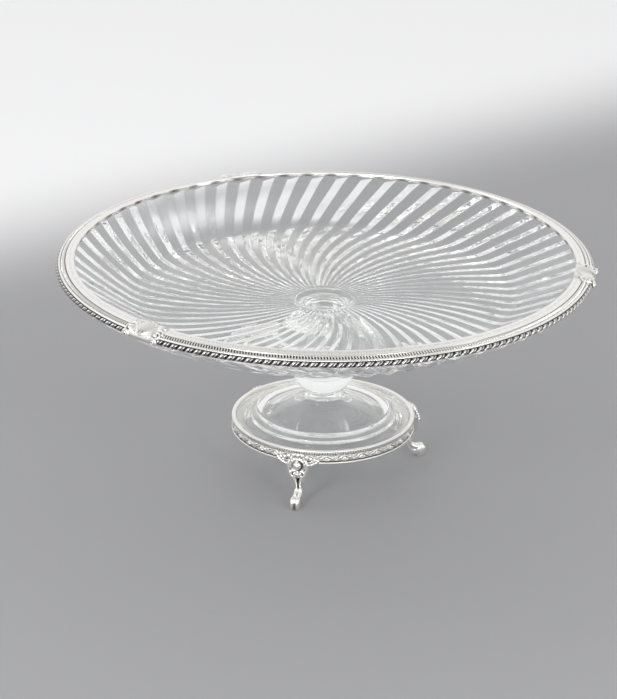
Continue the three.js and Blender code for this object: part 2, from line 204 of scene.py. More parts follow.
class Shell:
    """Vertices in millimetres, faces, and a value for each vertex of painted shade and grain (low is dark),
    from several bodies.
    """

    def __init__(self):
        self.vertices = []
        self.faces = []
        self.shade_and_grain = []
        self.count = 0

    def add(self, vertices, faces, shade_and_grain=1.0):
        vertices = np.asarray(vertices, float)
        shade_and_grain = np.broadcast_to(np.asarray(shade_and_grain, float), vertices.shape[:-1]).ravel()
        vertices = vertices.reshape(-1, 3)
        self.faces += [[self.count + i for i in face] for face in faces]
        self.vertices.append(vertices)
        self.shade_and_grain.append(shade_and_grain)
        self.count += len(vertices)

    def all_vertices(self):
        return np.vstack(self.vertices)

    def all_shade_and_grain(self):
        return np.concatenate(self.shade_and_grain)


def make_object(name, vertices, faces, material, shade_and_grain=None):
    mesh = bpy.data.meshes.new(name)
    mesh.from_pydata((np.asarray(vertices) * MM).tolist(), [], faces)
    mesh.update()
    mesh.polygons.foreach_set("use_smooth", [True] * len(mesh.polygons))
    mesh.materials.append(material)
    if shade_and_grain is not None:
        attribute = mesh.attributes.new("shade_and_grain", "FLOAT", "POINT")
        attribute.data.foreach_set("value", np.asarray(shade_and_grain, np.float32))
    piece = bpy.data.objects.new(name, mesh)
    bpy.context.scene.collection.objects.link(piece)
    return piece


def keep_flats_flat(piece):
    """Vertex normals weighted by the size of the faces round them, so that large faces stay flat."""
    mesh = piece.data
    normals = np.zeros((len(mesh.vertices), 3))
    places = np.empty(len(mesh.vertices) * 3)
    mesh.vertices.foreach_get("co", places)
    places = places.reshape(-1, 3) / MM
    quads = np.array([list(p.vertices) for p in mesh.polygons if len(p.vertices) == 4])
    across = np.cross(places[quads[:, 2]] - places[quads[:, 0]], places[quads[:, 3]] - places[quads[:, 1]])
    for k in range(4):
        np.add.at(normals, quads[:, k], across)
    lengths = np.linalg.norm(normals, axis=1)
    lengths[lengths == 0] = 1
    mesh.normals_split_custom_set_from_vertices((normals / lengths[:, None]).tolist())


def dress(piece, node):
    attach(piece, "root")
    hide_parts(node)


def about_axis(radius, azimuth, height):
    return np.stack(np.broadcast_arrays(radius * np.cos(azimuth), radius * np.sin(azimuth), height), -1)


# Materials

# Sockets of a Mix node that mixes colours
MIX_SHARE = 0
MIX_FIRST = 6
MIX_SECOND = 7
MIX_RESULT = 2


def new_material(name):
    material = bpy.data.materials.new(name)
    material.use_nodes = True
    tree = material.node_tree
    return material, tree, tree.nodes["Principled BSDF"]


def noise(tree, scale, detail=3.0):
    place = tree.nodes.new("ShaderNodeTexCoord")
    texture = tree.nodes.new("ShaderNodeTexNoise")
    texture.inputs["Scale"].default_value = scale
    texture.inputs["Detail"].default_value = detail
    tree.links.new(place.outputs["Object"], texture.inputs["Vector"])
    return texture.outputs["Fac"]


def spread(tree, value, low, high):
    """The value, from 0 to 1, laid out between low and high."""
    node = tree.nodes.new("ShaderNodeMapRange")
    node.inputs["To Min"].default_value = low
    node.inputs["To Max"].default_value = high
    tree.links.new(value, node.inputs["Value"])
    return node.outputs["Result"]


def bump(tree, shader, height, strength, distance):
    node = tree.nodes.new("ShaderNodeBump")
    node.inputs["Strength"].default_value = strength
    node.inputs["Distance"].default_value = distance
    tree.links.new(height, node.inputs["Height"])
    tree.links.new(node.outputs["Normal"], shader.inputs["Normal"])


def glass_material(name, shadow):
    """Clear pressed glass, fire-polished to a faint waviness. Its shadow lets most of the light through."""
    material, tree, shader = new_material(name)
    shader.inputs["Base Color"].default_value = (0.978, 0.985, 0.984, 1)
    shader.inputs["Transmission Weight"].default_value = 1.0
    shader.inputs["IOR"].default_value = 1.5
    roughness = spread(tree, noise(tree, 90.0), 0.0, 0.008)
    tree.links.new(roughness, shader.inputs["Roughness"])
    bump(tree, shader, noise(tree, 45.0, 1.0), 0.06, 0.0004)
    path = tree.nodes.new("ShaderNodeLightPath")
    clear = tree.nodes.new("ShaderNodeBsdfTransparent")
    clear.inputs["Color"].default_value = (shadow, shadow, shadow, 1)
    mix = tree.nodes.new("ShaderNodeMixShader")
    tree.links.new(path.outputs["Is Shadow Ray"], mix.inputs["Fac"])
    tree.links.new(shader.outputs["BSDF"], mix.inputs[1])
    tree.links.new(clear.outputs["BSDF"], mix.inputs[2])
    tree.links.new(mix.outputs["Shader"], tree.nodes["Material Output"].inputs["Surface"])
    return material


def silver_material(name, bright, low_gloss, high_gloss, reach):
    """Bright silver plate with painted shade: ambient occlusion times each vertex's shade and grain value
    turns hollows nearly black. Rubbed patches of varying gloss.
    """
    material, tree, shader = new_material(name)
    shader.inputs["Metallic"].default_value = 1.0
    # Painted shade: ambient occlusion, times the shade and grain value, runs the colour from nearly black to
    # bright
    hollow = tree.nodes.new("ShaderNodeAmbientOcclusion")
    hollow.samples = 6
    hollow.only_local = True
    hollow.inputs["Distance"].default_value = reach
    shade_and_grain_input = tree.nodes.new("ShaderNodeAttribute")
    shade_and_grain_input.attribute_name = "shade_and_grain"
    both = tree.nodes.new("ShaderNodeMath")
    both.operation = "MULTIPLY"
    tree.links.new(hollow.outputs["AO"], both.inputs[0])
    tree.links.new(shade_and_grain_input.outputs["Fac"], both.inputs[1])
    shade_and_grain = tree.nodes.new("ShaderNodeValToRGB")
    shade_and_grain.color_ramp.elements[0].position = 0.34
    shade_and_grain.color_ramp.elements[0].color = (0.025, 0.024, 0.022, 1)
    shade_and_grain.color_ramp.elements[1].position = 0.85
    shade_and_grain.color_ramp.elements[1].color = (bright, 0.99 * bright, 0.965 * bright, 1)
    tree.links.new(both.outputs["Value"], shade_and_grain.inputs["Fac"])
    haze = tree.nodes.new("ShaderNodeMix")
    haze.data_type = "RGBA"
    haze.blend_type = "MULTIPLY"
    haze.inputs[MIX_SHARE].default_value = 0.5
    film = tree.nodes.new("ShaderNodeValToRGB")
    film.color_ramp.elements[0].color = (0.93, 0.91, 0.87, 1)
    film.color_ramp.elements[1].color = (1, 1, 1, 1)
    tree.links.new(noise(tree, 70.0, 4.0), film.inputs["Fac"])
    tree.links.new(shade_and_grain.outputs["Color"], haze.inputs[MIX_FIRST])
    tree.links.new(film.outputs["Color"], haze.inputs[MIX_SECOND])
    tree.links.new(haze.outputs[MIX_RESULT], shader.inputs["Base Color"])
    gloss = spread(tree, noise(tree, 160.0, 4.0), low_gloss, high_gloss)
    tree.links.new(gloss, shader.inputs["Roughness"])
    bump(tree, shader, noise(tree, 900.0, 3.0), 0.35, 0.00012)
    return material


def satin_material():
    """The flange under the glass and the wall inside the ring: unpolished, cream-coloured metal."""
    material, tree, shader = new_material("satin_flange")
    shader.inputs["Metallic"].default_value = 0.2
    film = tree.nodes.new("ShaderNodeValToRGB")
    film.color_ramp.elements[0].color = (0.92, 0.90, 0.84, 1)
    film.color_ramp.elements[1].color = (0.98, 0.97, 0.93, 1)
    tree.links.new(noise(tree, 120.0, 5.0), film.inputs["Fac"])
    tree.links.new(film.outputs["Color"], shader.inputs["Base Color"])
    tree.links.new(spread(tree, noise(tree, 300.0), 0.28, 0.44), shader.inputs["Roughness"])
    bump(tree, shader, noise(tree, 700.0, 3.0), 0.4, 0.00015)
    return material


# Glass dish


def floor_side(radius):
    """Height of the smooth upper side: a flat disc, a slow rise, then the slope up to the rim."""
    width = KNEE_RADIUS - DISC_RADIUS
    rise = (KNEE_HEIGHT - FLOOR_HEIGHT) * np.clip((radius - DISC_RADIUS) / width, 0, None)
    pitch = (LAND_INSIDE - KNEE_HEIGHT) / (BAND_INNER - KNEE_RADIUS)
    lift = pitch - (KNEE_HEIGHT - FLOOR_HEIGHT) / width
    past = radius - KNEE_RADIUS
    return FLOOR_HEIGHT + rise + lift * (past + np.sqrt(past**2 + KNEE_BEND**2)) / 2


def crest_side(radius):
    """Height of the rib crests underneath, where the slope bellies out a little."""
    width = GLASS_RADIUS - UNDER_KNEE
    pitch = (CREST_EDGE - CREST_FLAT) / width
    past = radius - UNDER_KNEE
    share = np.clip(past / width, 0, 1)
    belly = BELLY * np.sin(np.pi * share**BELLY_POWER) ** 2
    return CREST_FLAT + pitch * (past + np.sqrt(past**2 + UNDER_BEND**2)) / 2 - belly


def rib_depth(radius):
    """Depth of a valley between two crests: in step with the pitch, fading out at the boss."""
    return RIB_DEPTH * radius * smooth_step(RIB_START - RIB_FADE, RIB_START, radius)


def rib_wave(u):
    """0 on a crest and 1 in a valley, with flat flanks and a narrow round at both."""
    soft = 0.07
    v = 1 - np.abs(2 * (u % 1.0) - 1)
    low = (v * v / soft + soft) / 2
    high = 1 - ((1 - v) ** 2 / soft + soft) / 2
    return np.where(v < soft, low, np.where(v > 1 - soft, high, v))


def rib_columns():
    """Shares of a turn: eight columns to a rib, closer at its crest and valley."""
    steps = np.array([0, 0.035, 0.25, 0.465, 0.5, 0.535, 0.75, 0.965])
    return ((np.arange(RIB_COUNT)[:, None] + steps) / RIB_COUNT).ravel()


def swirl(radius):
    return np.radians(RIB_PHASE - RIB_TWIST * radius)


def dish_profile():
    """Rows of (radius, height, 1 where ribbed), from near the middle over the edge and back to the boss."""
    top = [3, 8, 13, *np.linspace(16, 98, 18), *np.linspace(101, 119, 13), *np.linspace(122, 144, 8)]
    rows = [(r, float(floor_side(np.float64(r))), 0) for r in top]
    ends = rounded([(144.8, LAND_INSIDE, 0), (GLASS_RADIUS, LAND_HEIGHT, 0.8), (GLASS_RADIUS, 130.6, 0)])
    rows += [(r, z, 0) for r, z in ends]
    under = [*np.linspace(GLASS_RADIUS, 116, 24), *np.linspace(114.5, 101, 13), *np.linspace(98.5, 20.5, 30)]
    under += [RIB_START, 19.6, 19.2, 18.8, 18.3, 17.9]
    rows += [(r, float(crest_side(np.float64(r))), 1) for r in under]
    rows.append((BOSS_RADIUS, CREST_FLAT, 0))
    return np.array(rows)


def build_dish(material):
    profile = dish_profile()
    radius, height, ribbed = (profile[:, k][:, None] for k in range(3))
    columns = rib_columns()[None, :]
    azimuth = columns * TURN + swirl(np.maximum(radius, BOSS_RADIUS))
    lift = ribbed * rib_depth(radius) * rib_wave(columns * RIB_COUNT)
    grid = about_axis(radius, azimuth, height + lift)
    rows, count = grid.shape[:2]
    shell = Shell()
    shell.add(grid, grid_faces(rows, count, wrap_columns=True))
    pole = shell.count
    shell.add([[0, 0, FLOOR_HEIGHT]], [])
    shell.faces += [[pole, i, (i + 1) % count] for i in range(count)]
    piece = make_object("dish_glass", shell.all_vertices(), shell.faces, material)
    keep_flats_flat(piece)
    dress(piece, "glass_dish")


# Glass pedestal


def quarter(start, end, steps, flat_first):
    """A quarter of an ellipse from start to end, that leaves start along the radius if flat_first."""
    points = []
    for k in range(steps + 1):
        a = k / steps * math.pi / 2
        along = (math.sin(a), 1 - math.cos(a))
        sx, sz = along if flat_first else along[::-1]
        points.append((start[0] + (end[0] - start[0]) * sx, start[1] + (end[1] - start[1]) * sz))
    return points


def pedestal_profile():
    """(radius, height) from the boss down the stem, round the foot and into the hollow under it."""
    neck = (NECK_RADIUS, NECK_HEIGHT)
    bell = (BELL_RADIUS, BELL_HEIGHT)
    boss = rounded([(BOSS_RADIUS, 103.9, 0), (BOSS_RADIUS, 101.0, 0.9), (16.4, 100.5, 0)])
    outline = [(BOSS_RADIUS, CREST_FLAT), *boss]
    outline += quarter((16.3, 100.4), neck, 12, True)[1:]
    knop = [neck, (12.2, 89.3), (14.3, 84.9), (17.3, 79.8), (18.9, 73.0), (19.0, 67.0), (18.2, 60.8)]
    knop += [(15.9, 55.4), (12.3, 51.2), (10.3, 49.4)]
    outline += [*smooth_line(knop, 46)[1:], (10.25, 48.8)]
    outline += quarter((10.4, 48.0), bell, 22, False)
    foot = [
        (*bell, 0),
        (39.2, 39.1, 0.5),
        (42.4, 35.8, 0.5),
        (43.1, 33.6, 0.5),
        (51.4, 33.5, 1.3),
        (51.4, 28.3, 0.5),
        (46.9, 28.3, 0.4),
        (45.6, 28.9, 0.8),
        (41.5, 30.6, 2.0),
        (36.5, 34.0, 1.6),
        (26.0, 37.1, 3.0),
        (15.5, 40.1, 3.0),
        (11.8, 42.3, 1.8),
        (8.5, 46.4, 2.4),
        (5.2, 51.4, 2.0),
        (1.0, 53.4, 0),
    ]
    return np.array([*outline, *subdivided(rounded(foot), 2.5)])


def build_pedestal(material):
    profile = pedestal_profile()
    count = PEDESTAL_SIDES
    azimuth = np.arange(count)[None, :] / count * TURN + swirl(BOSS_RADIUS)
    grid = about_axis(profile[:, 0][:, None], azimuth, profile[:, 1][:, None])
    shell = Shell()
    shell.add(grid, grid_faces(len(profile), count, wrap_columns=True))
    pole = shell.count
    last = (len(profile) - 1) * count
    shell.add([[0, 0, HOLLOW_TOP]], [])
    shell.faces += [[pole, last + (i + 1) % count, last + i] for i in range(count)]
    piece = make_object("pedestal_glass", shell.all_vertices(), shell.faces, material)
    dress(piece, "glass_pedestal")


# Rim band


def band_outline():
    """Section of the band: inner lip, tilted top, bead channel, bright lip, undercut and gadrooned wall."""
    corners = [
        (143.8, 134.9, 0.4),
        (144.6, 135.98, 0.4),
        (149.1, 134.62, 0.2),
        (CHANNEL_INNER, CHANNEL_HEIGHT, 0.15),
        (151.9, 133.33, 0.15),
        (152.1, 133.85, 0.25),
        (153.2, 133.5, 0.4),
        (153.35, 132.9, 0.2),
        (152.75, 132.75, 0.1),
        (152.8, 132.5, 0.1),
        (153.6, 132.6, 0.2),
        (154.8, 132.2, 0.7),
        (155.0, 131.1, 0.8),
        (154.3, 129.95, 0.5),
        (153.0, 129.6, 0.3),
        (151.6, 129.6, 0.1),
        (151.6, 132.9, 0.1),
        (145.4, 133.72, 0.2),
        (143.8, 133.2, 0.2),
    ]
    section = rounded(corners, steps=3, closed=True)
    return subdivided(np.vstack([section, section[:1]]), 0.7)[:-1]


def channel_floor(radius):
    """Height of the floor of the bead channel."""
    return CHANNEL_HEIGHT - CHANNEL_FALL * (radius - CHANNEL_INNER)


def gadroon(u):
    """Height over one gadroon as a share of its depth: a lobe, a thinner rib beside it, then a groove."""
    u = u % 1.0
    lobe = np.sin(np.pi * np.clip(u / 0.42, 0, 1)) ** 0.6
    rib = 0.9 * np.sin(np.pi * np.clip((u - 0.47) / 0.26, 0, 1)) ** 0.7
    return np.maximum(lobe, rib)


def build_band(name, node, start, end, material):
    """One length of the band, from the middle of a clasp to the middle of the next, with its beads."""
    section = band_outline()
    steps = 14
    columns = GADROONS * steps + 1
    share = np.linspace(0, 1, columns)[None, :]
    radius = section[:, 0][:, None]
    height = section[:, 1][:, None]
    azimuth = start + (end - start) * share
    on_wall = smooth_step(153.3, 153.9, radius) * (1 - smooth_step(132.4, 132.8, height))
    lean = GADROON_LEAN * (height - WALL_MIDDLE) / WALL_HEIGHT
    hollow = on_wall * (1 - gadroon(share * GADROONS - lean))
    shade_and_grain = band_shade_and_grain(radius, height, share, azimuth, hollow)
    shell = Shell()
    grid = about_axis(radius - GADROON_DEPTH * hollow, azimuth, height)
    rows = len(section)
    shell.add(grid, grid_faces(rows, columns, wrap_rows=True), shade_and_grain)
    shell.faces.append([i * columns for i in range(rows)])
    shell.faces.append([i * columns + columns - 1 for i in reversed(range(rows))])
    add_beads(shell, start, end)
    piece = make_object(name, shell.all_vertices(), shell.faces, material, shell.all_shade_and_grain())
    dress(piece, node)


def band_shade_and_grain(radius, height, share, azimuth, hollow):
    """Painted shade: dark in the hollows, the bead channel and the undercut. Grain and dots lie on the tilted
    top.
    """
    in_channel = smooth_step(149.15, 149.4, radius) * (1 - smooth_step(151.8, 152.05, radius))
    in_channel = in_channel * smooth_step(0.35, 0.15, np.abs(height - channel_floor(radius)))
    in_groove = np.exp(-(((radius - GROOVE_RADIUS) / 0.6) ** 2) - ((height - GROOVE_HEIGHT) / 0.22) ** 2)
    on_top = smooth_step(134.3, 134.5, height) * smooth_step(145.1, 145.5, radius)
    grain = np.random.default_rng(11).random(hollow.shape)
    dots = np.exp(-(((radius - DOT_RADIUS) / 0.45) ** 2))
    dots = dots * np.sin(DOTS_TO_GADROON * math.pi * GADROONS * share) ** 2
    # Painted shade: dark marks on the edge of the inner lip, in step with the glass ribs below it
    rib = 0.5 + 0.5 * np.cos(RIB_COUNT * (azimuth - float(swirl(BAND_INNER))))
    lip = smooth_step(145.0, 144.92, radius) * smooth_step(135.4, 134.6, height)
    # Painted shade in the gadroon hollows, the bead channel, the undercut groove and at the lip; the top also
    # gets grain and dots
    shade_and_grain = 1 - 0.66 * hollow**0.8 - 0.92 * in_channel
    shade_and_grain = shade_and_grain - 0.9 * in_groove - on_top * (0.22 * grain + 0.22 * dots) - 0.5 * lip * rib
    return np.clip(shade_and_grain, 0, 1)


def add_beads(shell, start, end):
    """A line of small milled bars in the channel inside the lip."""
    across = np.linspace(-1, 1, BEAD_STEPS)[:, None]
    along = np.linspace(-1, 1, BEAD_STEPS)[None, :]
    height = BEAD_HEIGHT * (1 - across**4) ** 0.5 * (1 - along**2) ** 0.5
    radius = BEAD_RADIUS + BEAD_REACH * across
    count = BEADS_TO_GADROON * GADROONS
    pitch = (end - start) / count
    faces = grid_faces(BEAD_STEPS, BEAD_STEPS)
    for k in range(count):
        azimuth = start + (k + 0.5) * pitch + along * pitch * BEAD_SHARE + across * pitch * BEAD_SLANT
        shell.add(about_axis(radius, azimuth, channel_floor(radius) - 0.1 + height), faces)


# Relief: heights over a plane, in millimetres


def to_line(x, y, line):
    """Distance from each place to a line of points, and the share of the way along it."""
    best = np.full(np.broadcast(x, y).shape, 1e9)
    along = np.zeros(best.shape)
    count = len(line) - 1
    for i in range(count):
        ax, ay = line[i]
        bx, by = line[i + 1]
        dx, dy = bx - ax, by - ay
        share = np.clip(((x - ax) * dx + (y - ay) * dy) / (dx * dx + dy * dy + 1e-12), 0, 1)
        distance = np.hypot(x - ax - share * dx, y - ay - share * dy)
        closer = distance < best
        best = np.where(closer, distance, best)
        along = np.where(closer, (i + share) / count, along)
    return best, along


def spiral(x, y, outer, inner, start, turns, count=28):
    """A scroll that winds in from outer to inner radius. Angles are in turns."""
    share = np.linspace(0, 1, count)
    angle = TURN * (start + turns * share)
    radius = outer + (inner - outer) * share
    return np.stack([x + radius * np.cos(angle), y + radius * np.sin(angle)], -1)


def ridge(x, y, line, width, height, taper=0.5):
    distance, along = to_line(x, y, line)
    girth = width * (1 - taper * along)
    return height * np.clip(1 - (distance / girth) ** 2, 0, 1) ** 0.5


def leaf(x, y, centre, length, width, turn):
    """A pointed leaf with a sunk midrib."""
    c, s = math.cos(turn * TURN), math.sin(turn * TURN)
    u = ((x - centre[0]) * c + (y - centre[1]) * s) / length
    v = (-(x - centre[0]) * s + (y - centre[1]) * c) / width
    inside = np.clip(1 - np.abs(u) ** 1.6 - v * v / np.clip(1 - np.abs(u), 0.05, 1), 0, 1)
    return inside**0.5 * (1 - 0.45 * np.exp(-((v / 0.22) ** 2)))


def dome(x, y, centre, radius):
    distance = np.hypot(x - centre[0], y - centre[1]) / radius
    return np.clip(1 - distance**2, 0, 1) ** 0.5


# Rim clasps


def clasp_relief(s, t):
    """Relief of a clasp over the band: s runs along the rim, t from its inner edge over the wall."""
    s = np.abs(s)
    angle = np.arctan2(s, FAN_FOOT - t)
    reach = np.hypot(s, FAN_FOOT - t)
    edge = 11.2 - 2.4 * (angle / 0.9) ** 2
    flutes = 0.5 + 0.5 * np.cos(angle * TURN / FLUTE_ANGLE)
    scallop = edge + 0.7 * flutes
    fan = smooth_step(0, 0.9, scallop - reach) * smooth_step(1.35, 1.05, angle)
    shell = fan * (0.75 + 0.55 * flutes + 0.5 * (1 - reach / 12))
    eye = (9.6, 10.6)
    scroll = ridge(s, t, spiral(*eye, 3.1, 0.3, 0.47, -1.6), 0.85, 1.5, 0.25)
    bow = smooth_line([(5.2, 12.6), (6.4, 8.6), (8.6, 6.2), (11.2, 6.6), (12.6, 9.0)], 16)
    arm = ridge(s, t, bow, 0.9, 1.3, 0.2)
    sprig = 1.2 * leaf(s, t, (7.4, 4.2), 3.6, 1.5, 0.12) + 1.1 * leaf(s, t, (10.8, 3.6), 2.8, 1.2, -0.08)
    button = 1.7 * dome(s, t, eye, 1.15)
    raised = np.maximum.reduce([shell, scroll, arm, sprig, button])
    pillow = 0.85 * smooth_step(12.0, 8.5, s) * smooth_step(0.2, 2.0, t)
    sunk = 1.3 * (1 - smooth_step(0.0, 0.3, raised + pillow))
    both = np.maximum(raised, pillow) + 0.25 * np.minimum(raised, pillow)
    return CLASP_RELIEF * both - 0.2 - sunk


def clasp_path():
    """A line over the band from its inner lip to the foot of the wall, with its normals and lengths."""
    corners = [
        (143.7, 133.4, 0),
        (143.6, 134.95, 0.4),
        (144.5, 136.1, 0.5),
        (153.2, 133.6, 1.4),
        (154.9, 132.2, 1.2),
        (155.0, 131.0, 0.8),
        (154.0, 129.5, 0),
    ]
    path = subdivided(rounded(corners, 6), 0.22)
    run = np.gradient(path, axis=0)
    run /= np.linalg.norm(run, axis=1)[:, None]
    normal = np.stack([-run[:, 1], run[:, 0]], -1)
    lengths = np.concatenate([[0], np.cumsum(np.linalg.norm(np.diff(path, axis=0), axis=1))])
    return path, normal, lengths


def clasp_shell():
    """A clasp in the middle of the rim's right side, its border sunk into the band."""
    path, normal, lengths = clasp_path()
    s = np.linspace(-CLASP_HALF, CLASP_HALF, 150)
    t = lengths[:, None]
    height = clasp_relief(s[None, :], t - 0.5)
    border = smooth_step(0, 0.5, t) * smooth_step(CLASP_HALF, CLASP_HALF - 0.3, np.abs(s))[None, :]
    height = height * border - 0.5 * (1 - border)
    radius = path[:, 0][:, None] + normal[:, 0][:, None] * height
    z = path[:, 1][:, None] + normal[:, 1][:, None] * height
    shell = Shell()
    grid = about_axis(radius, s[None, :] / RIM_RADIUS, z)
    # Painted shade: the low parts of the relief are darker
    shell.add(grid, grid_faces(*grid.shape[:2]), 0.72 + 0.28 * smooth_step(0.2, 0.9, height))
    for side in (-1, 1):
        add_volute(shell, side)
    return shell


def add_volute(shell, side):
    """A snail scroll that stands out beyond the wall at the end of a clasp."""
    centre = np.array([side * 10.2, 131.4])
    turns = spiral(0, 0, 2.2, 0.4, 0.55, -1.7, 44)
    share = np.linspace(0, 1, len(turns))
    points = np.zeros((len(turns), 3))
    points[:, 0] = 155.1 + 1.0 * share
    points[:, 1] = centre[0] + side * turns[:, 0]
    points[:, 2] = centre[1] + turns[:, 1] * 0.95
    add_tube(shell, points, 0.95 - 0.35 * share, 10)


def add_tube(shell, points, radii, sides):
    """A round bar along points, with closed ends."""
    points = np.asarray(points, float)
    run = np.gradient(points, axis=0)
    run /= np.linalg.norm(run, axis=1)[:, None]
    side = np.cross(run[0], [0.3, 0.9, 0.2])
    rings = []
    for place, ahead, radius in zip(points, run, np.broadcast_to(radii, len(points))):
        side = side - ahead * np.dot(side, ahead)
        side /= np.linalg.norm(side)
        other = np.cross(ahead, side)
        angle = np.arange(sides)[:, None] / sides * TURN
        rings.append(place + radius * (np.cos(angle) * side + np.sin(angle) * other))
    rings = np.array(rings)
    first = shell.count
    count = len(points)
    faces = [face[::-1] for face in grid_faces(count, sides, wrap_columns=True)]
    shell.add(rings, faces)
    ends = shell.count
    shell.add([points[0] - run[0] * radii[0] * 0.5, points[-1] + run[-1] * radii[-1] * 0.5], [])
    last = first + (count - 1) * sides
    shell.faces += [[ends, first + (i + 1) % sides, first + i] for i in range(sides)]
    shell.faces += [[ends + 1, last + i, last + (i + 1) % sides] for i in range(sides)]


def turned_about_axis(vertices, azimuth):
    c, s = math.cos(azimuth), math.sin(azimuth)
    x, y, z = vertices[:, 0], vertices[:, 1], vertices[:, 2]
    return np.stack([x * c - y * s, x * s + y * c, z], -1)


def build_rim(band_silver, clasp_silver):
    shell = clasp_shell()
    gap = CLASP_GAP / RIM_RADIUS
    for k in range(BAND_COUNT):
        middle = math.radians(CLASP_AZIMUTH) + k * TURN / BAND_COUNT
        end = middle + TURN / BAND_COUNT - gap
        build_band(f"band_silver_{k + 1}", f"rim_band_{k + 1}", middle + gap, end, band_silver)
        vertices = turned_about_axis(shell.all_vertices(), middle)
        piece = make_object(f"clasp_silver_{k + 1}", vertices, shell.faces, clasp_silver, shell.all_shade_and_grain())
        dress(piece, f"rim_clasp_{k + 1}")


# Foot ring


def scroll_relief(x, y, length):
    """One repeat of the ring's running ornament: a scroll with leaves, turned over on the next half."""
    stem = [(k, 0.95 * math.sin(TURN * k / length)) for k in np.linspace(-1, length + 1, 40)]
    high = ridge(x, y, stem, 0.36, 0.45, 0)
    leaves = [(-1.5, 1.15, 0.1), (1.6, 1.2, -0.12), (0.2, -1.45, 0.02), (-2.1, -0.2, 0.2)]
    for centre, side in ((length * 0.25, -1), (length * 0.75, 1)):
        eye = (centre, side * 0.55)
        curl = spiral(*eye, 1.25, 0.3, 0.25 * side + 0.25, side * 1.3)
        high = np.maximum(high, ridge(x, y, curl, 0.42, 0.75, 0.2))
        high = np.maximum(high, 0.85 * dome(x, y, eye, 0.5))
        for shift, lift, turn in leaves:
            place = (centre + shift, side * lift)
            high = np.maximum(high, 0.75 * leaf(x, y, place, 1.15, 0.55, turn * side))
    return high


def ring_outline():
    """Rows (radius, height, zone) from the flange's hole over the wall, down its outside and back below."""
    inside = rounded([(FLANGE_HOLE, FLANGE_TOP, 0), (51.7, FLANGE_TOP, 0.15), (51.7, 34.0, 0)])
    edge = [(51.7, 34.1, 0), (52.1, 34.45, 0.3), (53.9, 34.35, 0.3), (54.05, 33.75, 0.2), (53.5, 33.65, 0)]
    lip = rounded(edge)
    milled = [(53.45, z) for z in np.linspace(33.55, 32.4, 6)]
    fillet = [(53.75, 32.35), (53.8, 32.28), (53.75, 32.2), (53.2, 32.15)]
    relief = [(RELIEF_RADIUS + 0.1 * (RELIEF_TOP - z), z) for z in np.linspace(RELIEF_TOP, 28.1, 26)]
    cove = [(53.2, 28.0), (52.9, 27.9), (52.8, 27.75), (53.2, 27.65)]
    bead = [(53.8, 27.6), (54.1, 27.3), (54.15, 26.95), (53.9, 26.6), (53.4, 26.5)]
    bead += [(50.0, 26.5), (FLANGE_HOLE, 26.5)]
    zones = [("inside", inside), ("lip", lip), ("milled", milled), ("lip", fillet), ("relief", relief)]
    zones += [("cove", cove), ("lip", bead)]
    return [(radius, height, zone) for zone, points in zones for radius, height in points]


def build_ring(material, satin):
    per_repeat = 42
    columns = RING_REPEATS * per_repeat
    rows = ring_outline()
    zone = np.array([row[2] for row in rows])
    height = np.array([row[1] for row in rows])[:, None] * np.ones((1, columns))
    radius = np.array([row[0] for row in rows])[:, None] * np.ones((1, columns))
    turn = np.arange(columns)[None, :] / columns
    milled = zone == "milled"
    across = np.linspace(-1, 1, milled.sum())[:, None]
    bars = BARS_TO_REPEAT * RING_REPEATS
    bar = np.abs(np.sin(np.pi * bars * turn)) ** 0.6 * (1 - across**4) ** 0.5
    radius[milled] += BAR_HEIGHT * bar
    scroll = zone == "relief"
    length = TURN * RING_RADIUS / RING_REPEATS
    x = np.arange(per_repeat)[None, :] * length / per_repeat
    raised = scroll_relief(x, height[scroll][:, :1] - RING_MIDDLE, length)
    raised = np.tile(raised, (1, RING_REPEATS))
    radius[scroll] += raised
    shade_and_grain = np.ones(radius.shape)
    # Painted shade: darker between the milled bars, on the low ground of the scroll and in the cove
    shade_and_grain[milled] = 0.35 + 0.65 * bar
    shade_and_grain[scroll] = 0.72 + 0.28 * smooth_step(0.05, 0.4, raised)
    shade_and_grain[zone == "cove"] = 0.45
    shell = Shell()
    grid = about_axis(radius, turn * TURN, height)
    shell.add(grid, grid_faces(len(rows), columns, True, True), shade_and_grain)
    piece = make_object("ring_silver", shell.all_vertices(), shell.faces, material, shell.all_shade_and_grain())
    piece.data.materials.append(satin)
    last_inside = np.flatnonzero(zone == "inside")[-1]
    for polygon in piece.data.polygons:
        if polygon.index // columns < last_inside:
            polygon.material_index = 1
    dress(piece, "foot_ring")


# Legs, made in the plane y = 0 with +X outwards


def add_blob(shell, centre, radii):
    """An egg-shaped body."""
    rows, columns = 12, 16
    polar = np.linspace(0.02, 0.98, rows)[:, None] * math.pi
    azimuth = np.arange(columns)[None, :] / columns * TURN
    x = np.sin(polar) * np.cos(azimuth) * radii[0]
    y = np.sin(polar) * np.sin(azimuth) * radii[1]
    z = np.cos(polar) * radii[2] * np.ones_like(azimuth)
    grid = np.stack([centre[0] + x, centre[1] + y, centre[2] + z], -1)
    first = shell.count
    shell.add(grid, grid_faces(rows, columns, wrap_columns=True))
    last = first + (rows - 1) * columns
    shell.faces.append([first + i for i in reversed(range(columns))])
    shell.faces.append([last + i for i in range(columns)])


